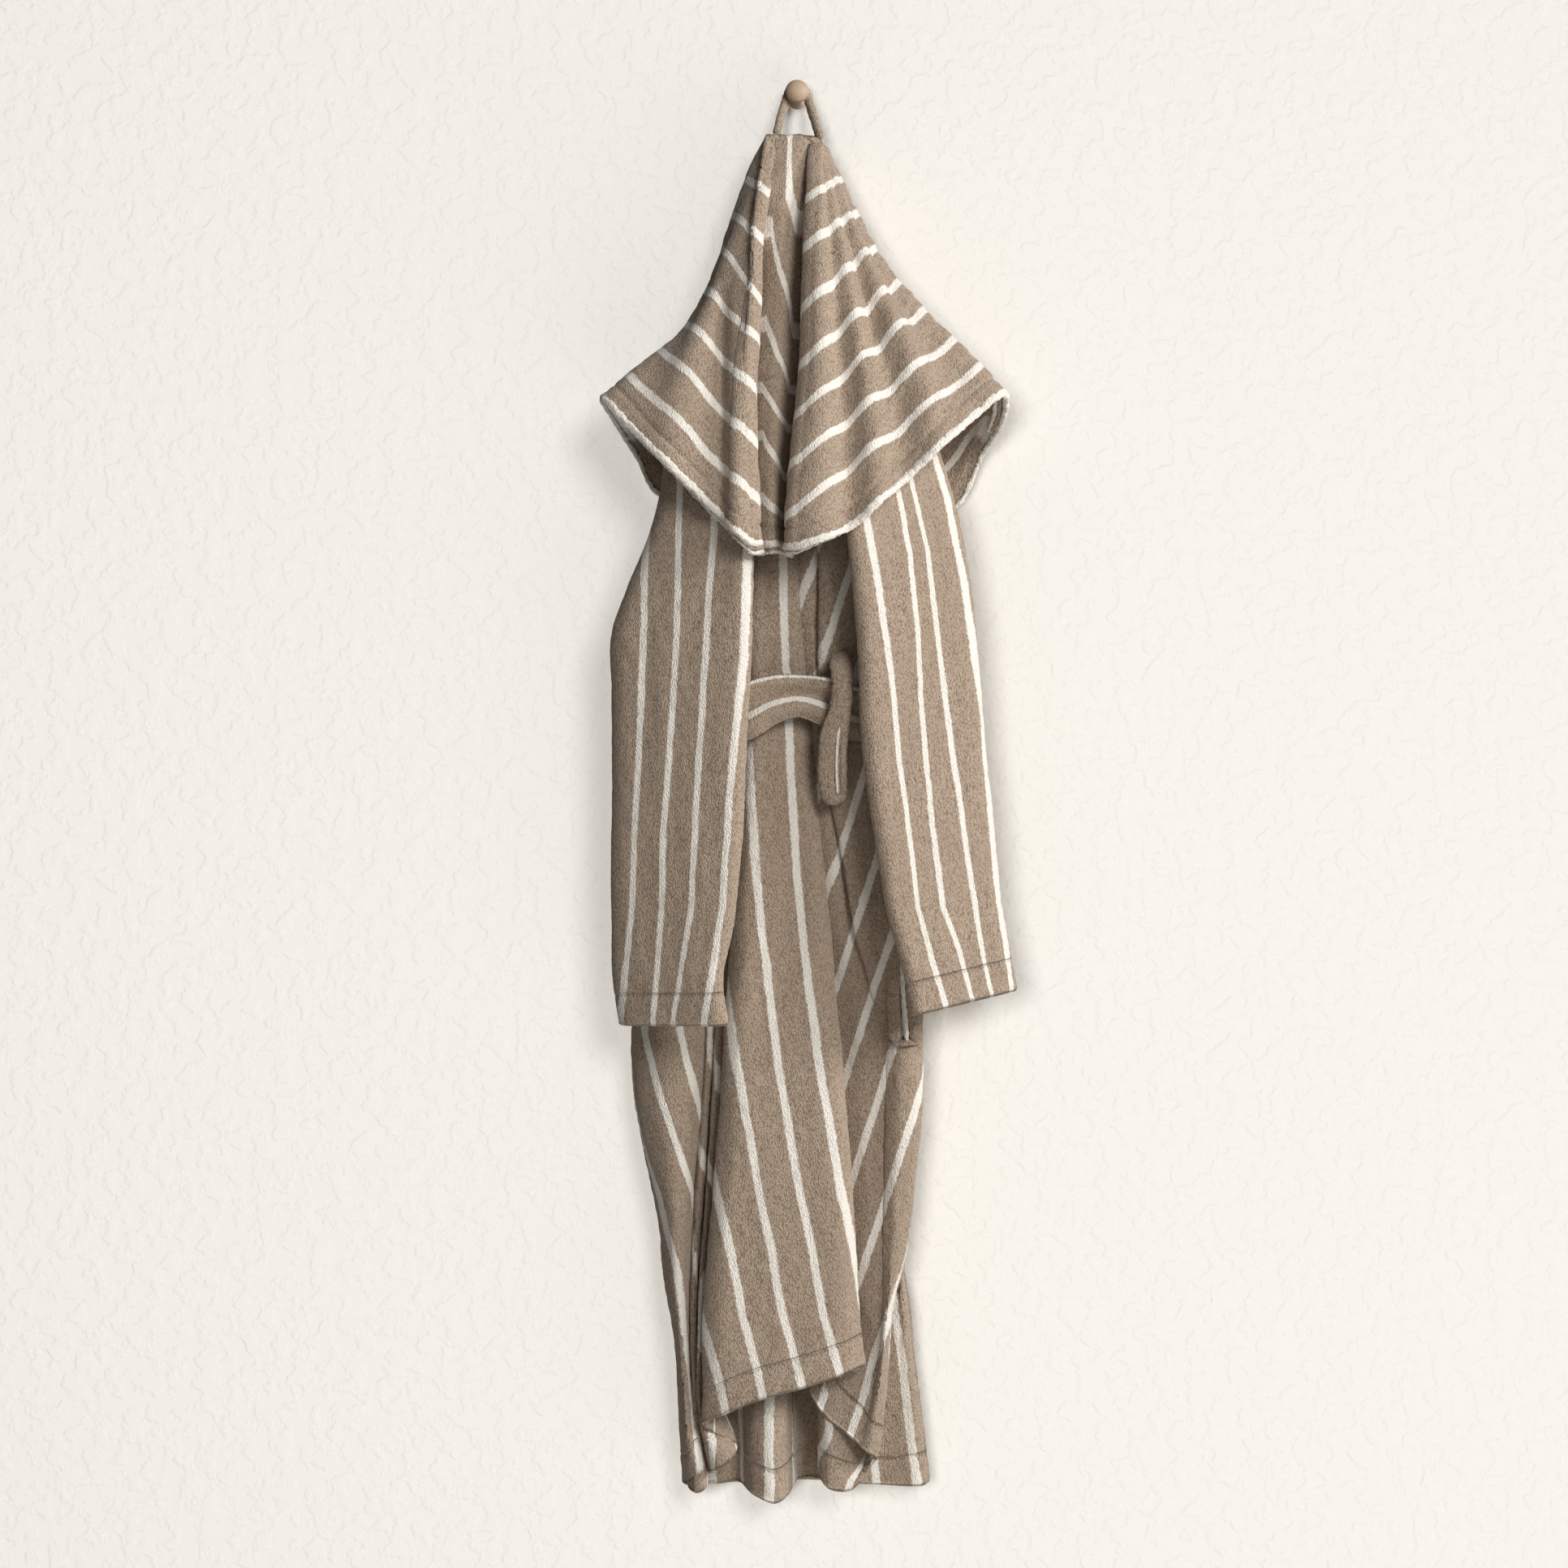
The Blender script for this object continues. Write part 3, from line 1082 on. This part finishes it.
def belt_half(side):
    """Half of the belt's middle line from the robe's middle round to its hanging end, and its tilt there."""
    left_side = [(26, -102), (46, -99), (68, -80), (80, -68), (106, -60)]
    right_side = [(24, -102), (46, -102), (80, -99), (104, -89)]
    near = left_side if side < 0 else right_side
    plan = near + [(119, -46), (125, -30), (119, -12)] + [(x, BELT_BEHIND) for x in (104, 84, 70)]
    lift = {26: -2, 24: -2, 46: -12}
    points = [(side * x, y, BELT_Z + lift.get(x, -BELT_SAG)) for x, y in plan]
    tilt = [0.0] * len(points)
    for i in range(1, 7):
        turn = math.pi / 2 * i / 6
        x = END_X + BELT_BEND * (1 - math.sin(turn))
        points.append((side * x, BELT_BEHIND, BELT_Z - BELT_SAG - BELT_BEND * (1 - math.cos(turn))))
        tilt.append(turn)
    for z in np.linspace(-600, BELT_FOOT, 10):
        points.append((side * END_X, BELT_BEHIND, z))
        tilt.append(math.pi / 2)
    return points, tilt


def make_belt():
    left, left_tilt = belt_half(-1)
    right, right_tilt = belt_half(1)
    path = left[::-1] + [(0, -103, BELT_Z + 3)] + right
    tilt = [-t for t in left_tilt[::-1]] + [0.0] + right_tilt
    packed = np.array([p + (t,) for p, t in zip(path, tilt)], float)
    fine = catmull(packed, [10] * (len(packed) - 1))
    run = run_along(fine[:, :3])
    at = np.arange(0, run[-1], 3.2)
    line = np.stack([np.interp(at, run, fine[:, i]) for i in range(4)], axis=1)
    middle, tilt = line[:, :3], line[:, 3]
    along = unit(np.gradient(middle, axis=0))
    up = np.stack([-np.sin(tilt), 0 * tilt, np.cos(tilt)], axis=1)
    up = unit(up - along * (up * along).sum(axis=1, keepdims=True))
    out = np.cross(along, up)
    near_front = fade(-middle[:, 1], 80, 20)
    width = BELT_WIDTH - 12 * near_front * np.clip(1 - np.abs(middle[:, 0] - 2) / 50, 0, 1)
    across = shares(20)
    pleat = 3.2 * np.sin(across * 2 * math.pi * 1.5 + 0.6) * (near_front[:, None] * 0.9 + 0.1)
    grid = (middle[:, None] + up[:, None] * ((0.5 - across)[None] * width[:, None])[..., None]
            + out[:, None] * pleat[..., None])
    grid += out[:, None] * (0.7 * noise(at[:, None] / 30 + 0 * across, across[None] * 3 + 0 * at[:, None],
                                        83))[..., None]
    cloth = np.stack(np.broadcast_arrays(across[None] / 0.62, across[None] * BELT_WIDTH * MM,
                                         at[:, None] * MM), axis=2)
    piece = build("belt_cloth", "belt", grid, cloth, 4.4, TERRY)
    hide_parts("belt")
    return piece


def make_belt_loop(word, rows, seed):
    """A fuzzy strip of terry from (x, y, z, width) rows, with a slit and a white thread in its lower half."""
    rows = run_of(rows, shares(90))
    path, width = rows[:, :3], rows[:, 3]
    radii = np.stack([width / 2, 0 * width + 3.4], axis=1)
    strip = tube_piece(f"loop_{word}_strip", path, radii, PLAIN, 28, seed, 1.0, up=OUTWARD)
    lower = rows[46:84]
    edge = lower[:, :3] + np.stack([0.36 * lower[:, 3], -1.6 + 0 * lower[:, 3], 0 * lower[:, 3]], axis=1)
    lip = tube_piece(f"loop_{word}_lip", edge, (3.2, 3.0), PLAIN, 14, seed + 1, 0.7, up=OUTWARD)
    slit = lower[:, :3] + np.stack([0.14 * lower[:, 3], -3.7 + 0 * lower[:, 3], 0 * lower[:, 3]], axis=1)
    thread = tube_piece(f"loop_{word}_thread", slit, (1.2, 1.2), WHITE, 10, seed + 2, 0.4, up=OUTWARD)
    piece = join([strip, lip, thread], f"belt_loop_{word}_cloth")
    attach(piece, "robe")
    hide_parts(f"belt_loop_{word}")
    return piece


def make_hanger():
    centre, radius = 0.2, 8.6     # of the arc that lies on the peg
    line = [(-18, -43, -37), (-13.5, -31, -18)]
    for i in range(9):
        turn = math.pi * (1 - i / 8)
        z = centre + radius * math.sin(turn)
        line.append((radius * math.cos(turn), -20 + 7 * math.sin(turn) ** 0.8, z))
    line += [(14, -31, -19), (20, -43, -41)]
    path = run_of(line, shares(90))
    piece = tube_piece("hanger_strap", path, (3.4, 4.4), PLAIN, 16, 91, 0.35)
    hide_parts("hanger_loop")
    return piece


def make_neck():
    guides = []
    for x, y in ((-20, -40), (-12, -45), (-4, -43), (4, -46), (12, -44), (20, -40)):
        guides.append(Guide([(x, y, -39), (x, y - 2, -46), (x * 1.05, y, -57)]))
    drape = Drape(guides, down=2.5, across=1.8)
    drape.crumple(95, folds=0.6, wide=9, long=20, small=0.3)
    return drape.piece("neck_gather", "neck", ["neck_band"], thick=4.5, material=PLAIN, trim=False)


# ---- the peg and its screw ----
PEG_TILT = math.radians(6)


def lathe(name, profile, turns, material, wall=None):
    """A turned piece along -Y, tilted up, from (distance out, radius) rows, cut flat at the wall if given."""
    profile = np.array(profile, float)
    angle = np.linspace(0, 2 * math.pi, turns, endpoint=False)
    points = []
    for out, radius in profile:
        points.append(np.stack([radius * np.cos(angle), np.full(turns, -out), radius * np.sin(angle)],
                               axis=1))
    points = np.concatenate(points)
    c, s = math.cos(PEG_TILT), math.sin(PEG_TILT)
    y, z = points[:, 1].copy(), points[:, 2].copy()
    points[:, 1] = y * c + z * s
    points[:, 2] = z * c - y * s
    if wall is not None:
        points[:, 1] = np.minimum(points[:, 1], wall)
    return make_piece(name, points, tube_faces(len(profile), turns), material, "peg")


def make_peg():
    rows = [(-0.4, 6.6), (0, 7.0), (1.2, 7.0), (3, 6.5), (6, 5.9), (10, 5.6), (15, 5.55), (18, 5.7),
            (20, 6.1), (22, 7.1),
            (23.5, 8.0), (25.5, 9.0), (27.5, 9.7), (29.5, 10.0), (31, 9.85), (32.5, 9.2), (34, 7.7),
            (35, 6.0),
            (35.7, 3.8), (36, 1.6), (36.05, 0.2)]
    fine = run_of(np.array([(a, b, 0.0) for a, b in rows]), np.linspace(0, 1, 70))[:, :2]
    peg = lathe("turned_peg", fine, 64, WOOD, wall=0.0)
    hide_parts("wall_peg")
    tip, start, radius, core, depth = -26, -24.5, 2.5, 2.3, 0.55
    thread = [(tip, 0.3), (tip + 1, 0.9)]
    for i in range(60):
        out = start + i * 0.3
        thread.append((out, min(radius, 0.9 + (out - start) * 0.45) - (depth if i % 4 < 2 else 0.0)))
    thread += [(-6.2, core), (-3, core), (0.3, core)]
    screw = lathe("screw_thread", thread, 32, STEEL)
    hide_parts("dowel_screw")


# ---- stage, light and camera ----
def stage_plane(name, corners, material):
    mesh = bpy.data.meshes.new(name)
    mesh.from_pydata(corners, [], [(0, 1, 2, 3)])
    mesh.materials.append(material)
    plane = bpy.data.objects.new(name, mesh)
    bpy.context.scene.collection.objects.link(plane)
    return plane


def make_stage():
    n = Nodes("plaster")
    place = n.add("TexCoord").outputs["Object"]
    lumps = n.noise(place, 62.0, 3.0, 0.5)
    fine = n.noise(place, 170.0, 3.0, 0.6)
    height = n.math("ADD", n.ramp(lumps, 0.44, 0.6), n.math("MULTIPLY", fine, 0.3))
    bump = n.add("Bump", {"Height": height, "Strength": 0.5, "Distance": 0.0014})
    n.put(n.shader.inputs["Base Color"], linear(241, 238, 232))
    n.put(n.shader.inputs["Normal"], bump.outputs[0])
    n.shader.inputs["Roughness"].default_value = 0.9
    n.shader.inputs["Specular IOR Level"].default_value = 0.1
    clear = n.add("BsdfTransparent")
    behind = n.add("NewGeometry").outputs["Backfacing"]
    shader = n.add("MixShader", {0: behind, 1: n.shader.outputs[0], 2: clear.outputs[0]})
    n.put(n.tree.nodes["Material Output"].inputs["Surface"], shader.outputs[0])
    low, high, reach, behind_robe = -1.9, 2.6, 3.5, 0.0006
    wall = stage_plane("wall", [(x, behind_robe, z) for x,
                                z in ((-reach, low), (reach, low), (reach, high), (-reach, high))],
                       n.material)
    floor_look = Nodes("pale_floor")
    speck = floor_look.noise(floor_look.add("TexCoord").outputs["Object"], 30.0, 2.0)
    floor_look.put(floor_look.shader.inputs["Base Color"],
                   floor_look.mix(speck, linear(232, 229, 223), linear(238, 236, 231)))
    floor_look.shader.inputs["Roughness"].default_value = 0.8
    stage_plane("floor", [(x, y, low) for x, y in ((-6, -6), (6, -6), (6, 6), (-6, 6))],
                floor_look.material)
    wall.visible_shadow = False
    wall.visible_diffuse = False
    wall.visible_glossy = False


def add_light(name, place, size, power, colour, wall, shadow=True, floor=True):
    """A round soft light aimed at the robe's middle, which lights only the wall or all but the wall."""
    data = bpy.data.lights.new(name, "AREA")
    data.shape = "DISK"
    data.size = size
    data.energy = power
    data.color = colour
    data.use_shadow = shadow
    light = bpy.data.objects.new(name, data)
    light.location = place
    light.rotation_mode = "QUATERNION"
    light.rotation_quaternion = (Vector(ROBE_MIDDLE) - Vector(place)).to_track_quat("-Z", "Y")
    bpy.context.scene.collection.objects.link(light)
    group = bpy.data.collections.new(name + "_receivers")
    group.objects.link(bpy.data.objects["wall"])
    light.light_linking.receiver_collection = group
    if not floor:
        group.objects.link(bpy.data.objects["floor"])
    for member in group.collection_objects:
        member.light_linking.link_state = "INCLUDE" if wall else "EXCLUDE"


KEY_TONE = (1.0, 0.99, 0.975)
SOFT_TONE = (1.0, 0.99, 0.98)
WALL_TONE = (1.0, 0.995, 0.985)
ROBE_MIDDLE = (0, -0.05, -0.6)


def make_light():
    add_light("key", (1.8, -3.4, 1.2), 1.8, 108, KEY_TONE, wall=False)
    add_light("side", (3.5, -1.7, 1.0), 1.6, 112, KEY_TONE, wall=False)
    add_light("front", (0.2, -3.8, 0.3), 1.2, 4, SOFT_TONE, wall=False)
    add_light("back", (0.9, 2.8, 0.4), 2.2, 62, SOFT_TONE, wall=False, floor=False)
    add_light("wall_soft", (-1.1, -7.0, -0.1), 1.9, 240, WALL_TONE, wall=True)
    add_light("wall_cast", (1.5, -6.0, 1.1), 1.9, 122, WALL_TONE, wall=True)
    add_light("wall_relief", (12.0, -5.0, 5.0), 1.2, 330, WALL_TONE, wall=True, shadow=False)
    world = bpy.data.worlds.new("studio")
    world.use_nodes = True
    back = world.node_tree.nodes["Background"]
    back.inputs["Color"].default_value = (0.95, 0.955, 0.965, 1)
    back.inputs["Strength"].default_value = 0.072
    bpy.context.scene.world = world
    bpy.context.scene.view_settings.view_transform = "Standard"


def make_camera():
    data = bpy.data.cameras.new("camera")
    distance, width = 3.2, 1.3524
    data.sensor_width = 36
    data.lens = 36 * distance / width
    camera = bpy.data.objects.new("camera", data)
    camera.location = (-0.0112, -distance, -0.5887)
    camera.rotation_euler = (math.pi / 2, 0, 0)
    bpy.context.scene.collection.objects.link(camera)
    bpy.context.scene.camera = camera


# ---- assembly ----
make_camera()
make_stage()
make_light()
make_peg()

hanger = make_hanger()
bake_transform(hanger)
neck = make_neck()

hood, hood_rim = make_hood()
hood_edge = make_hood_hem(hood_rim)
for piece in hood + [hood_edge]:
    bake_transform(piece)

left_sleeve = make_sleeve("left", LEFT_OUTER, LEFT_INNER, LEFT_LINES, -1, 11)
right_sleeve = make_sleeve("right", RIGHT_OUTER, RIGHT_INNER, RIGHT_LINES, 1, 17)
for (cloth, cuff), body in ((left_sleeve, "arm_left"), (right_sleeve, "arm_right")):
    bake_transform(cloth)
    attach(cuff, body)

back = make_back()
left_front = make_front(-1, "left", -28.0, 101)
right_front = make_front(1, "right", -19.0, 107)
left_pocket = make_pocket(-1, "left", -23.0, 8)
right_pocket = make_pocket(1, "right", -14.0, 6)
belt = make_belt()
LEFT_LOOP = [(-95, -60, -478, 15), (-95, -75, -490, 15), (-95, -75, -548, 18), (-95, -61, -604, 18)]
RIGHT_LOOP = [(33, -94, -481, 15), (36, -109, -488, 19), (37.5, -115, -506, 17), (35, -115, -531, 19),
              (30.5, -112, -548, 23), (29, -106, -577, 24), (30.5, -102, -598, 21), (31, -100, -607, 15)]
left_loop = make_belt_loop("left", LEFT_LOOP, 121)
right_loop = make_belt_loop("right", RIGHT_LOOP, 127)
